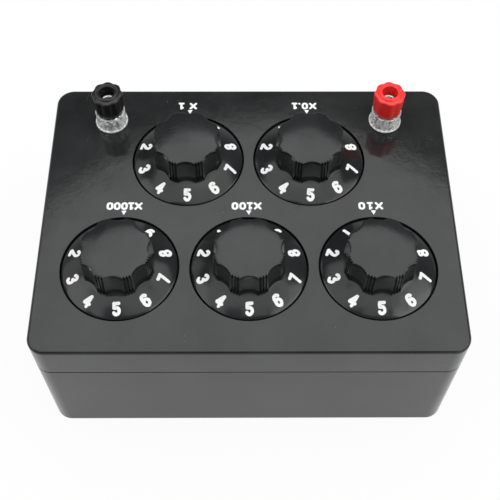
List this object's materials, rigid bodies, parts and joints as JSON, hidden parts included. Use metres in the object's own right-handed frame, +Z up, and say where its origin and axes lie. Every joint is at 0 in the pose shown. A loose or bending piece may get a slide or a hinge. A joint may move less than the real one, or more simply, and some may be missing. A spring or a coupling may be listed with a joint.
{
  "type": "decade resistance box",
  "caption": "Bench decade resistance box: moulded case with fluted rotary dials in round wells and two terminals with screw caps.",
  "frame": {"origin": "middle of the flat underside, on the surface that the box stands on", "axes": "+Z up through the panel, +X along the long side from the black terminal to the red one, +Y towards the terminals"},
  "size_m": [0.165, 0.125, 0.0863],
  "materials": {
    "case_black": "semi-gloss black moulding with fine scratches",
    "knob_black": "glossy black moulding",
    "cap_black": "glossy black moulding",
    "cap_red": "glossy red moulding",
    "clear_plastic": "clear polished moulding",
    "nickel": "nickel plate",
    "zinc_steel": "zinc-plated steel",
    "shaft_steel": "turned steel",
    "brass": "turned brass",
    "bronze": "rolled phosphor bronze",
    "phenolic": "paper phenolic board",
    "resistor_coat": "lacquered resistor bodies",
    "wire_insulation": "soft vinyl insulation"
  },
  "bodies": {
    "case": {"lid_panel": "case_black", "base_case": "case_black", "case_screw_1": "zinc_steel", "case_screw_2": "zinc_steel", "case_screw_3": "zinc_steel", "case_screw_4": "zinc_steel", "thousands_bush": "brass", "thousands_bush_nut": "zinc_steel", "thousands_contact_deck": "phenolic", "thousands_resistors": "resistor_coat", "hundreds_bush": "brass", "hundreds_bush_nut": "zinc_steel", "hundreds_contact_deck": "phenolic", "hundreds_resistors": "resistor_coat", "tens_bush": "brass", "tens_bush_nut": "zinc_steel", "tens_contact_deck": "phenolic", "tens_resistors": "resistor_coat", "units_bush": "brass", "units_bush_nut": "zinc_steel", "units_contact_deck": "phenolic", "units_resistors": "resistor_coat", "tenths_bush": "brass", "tenths_bush_nut": "zinc_steel", "tenths_contact_deck": "phenolic", "tenths_resistors": "resistor_coat", "black_terminal_insulator": "clear_plastic", "black_terminal_stud": "nickel", "black_terminal_lug": "nickel", "black_terminal_nut": "zinc_steel", "red_terminal_insulator": "clear_plastic", "red_terminal_stud": "nickel", "red_terminal_lug": "nickel", "red_terminal_nut": "zinc_steel", "black_terminal_wire": "wire_insulation", "thousands_wire": "wire_insulation", "hundreds_wire": "wire_insulation", "tens_wire": "wire_insulation", "units_wire": "wire_insulation", "red_terminal_wire": "wire_insulation"},
    "thousands_dial": {"thousands_knob": "knob_black", "thousands_shaft": "shaft_steel", "thousands_wiper": "bronze"},
    "hundreds_dial": {"hundreds_knob": "knob_black", "hundreds_shaft": "shaft_steel", "hundreds_wiper": "bronze"},
    "tens_dial": {"tens_knob": "knob_black", "tens_shaft": "shaft_steel", "tens_wiper": "bronze"},
    "units_dial": {"units_knob": "knob_black", "units_shaft": "shaft_steel", "units_wiper": "bronze"},
    "tenths_dial": {"tenths_knob": "knob_black", "tenths_shaft": "shaft_steel", "tenths_wiper": "bronze"},
    "black_terminal_thread": {"black_terminal_thread_bush": "brass"},
    "black_terminal_screw_cap": {"black_terminal_cap": "cap_black"},
    "red_terminal_thread": {"red_terminal_thread_bush": "brass"},
    "red_terminal_screw_cap": {"red_terminal_cap": "cap_red"}
  },
  "joints": [
    {"name": "thousands_turn", "type": "hinge", "parent": "case", "child": "thousands_dial", "pos_m": [-0.05, -0.0262, 0.0675], "axis": [0, 0, 1], "range_deg": [-324, 0]},
    {"name": "hundreds_turn", "type": "hinge", "parent": "case", "child": "hundreds_dial", "pos_m": [0, -0.0262, 0.0675], "axis": [0, 0, 1], "range_deg": [-324, 0]},
    {"name": "tens_turn", "type": "hinge", "parent": "case", "child": "tens_dial", "pos_m": [0.05, -0.0262, 0.0675], "axis": [0, 0, 1], "range_deg": [-324, 0]},
    {"name": "units_turn", "type": "hinge", "parent": "case", "child": "units_dial", "pos_m": [-0.025, 0.0253, 0.0675], "axis": [0, 0, 1], "range_deg": [-324, 0]},
    {"name": "tenths_turn", "type": "hinge", "parent": "case", "child": "tenths_dial", "pos_m": [0.025, 0.0253, 0.0675], "axis": [0, 0, 1], "range_deg": [-324, 0]},
    {"name": "black_terminal_lift", "type": "slide", "parent": "case", "child": "black_terminal_thread", "axis": [0, 0, 1], "range_m": [0, 0.0035]},
    {"name": "black_terminal_turn", "type": "hinge", "parent": "black_terminal_thread", "child": "black_terminal_screw_cap", "pos_m": [-0.058, 0.0454, 0.08], "axis": [0, 0, 1], "range_deg": [0, 1260.5]},
    {"name": "red_terminal_lift", "type": "slide", "parent": "case", "child": "red_terminal_thread", "axis": [0, 0, 1], "range_m": [0, 0.0035]},
    {"name": "red_terminal_turn", "type": "hinge", "parent": "red_terminal_thread", "child": "red_terminal_screw_cap", "pos_m": [0.058, 0.0454, 0.08], "axis": [0, 0, 1], "range_deg": [0, 1260.5]}
  ],
  "couplings": [
    {"joint": "black_terminal_turn", "follows": "black_terminal_lift", "rad_per_m": 6283.2},
    {"joint": "red_terminal_turn", "follows": "red_terminal_lift", "rad_per_m": 6283.2}
  ]
}
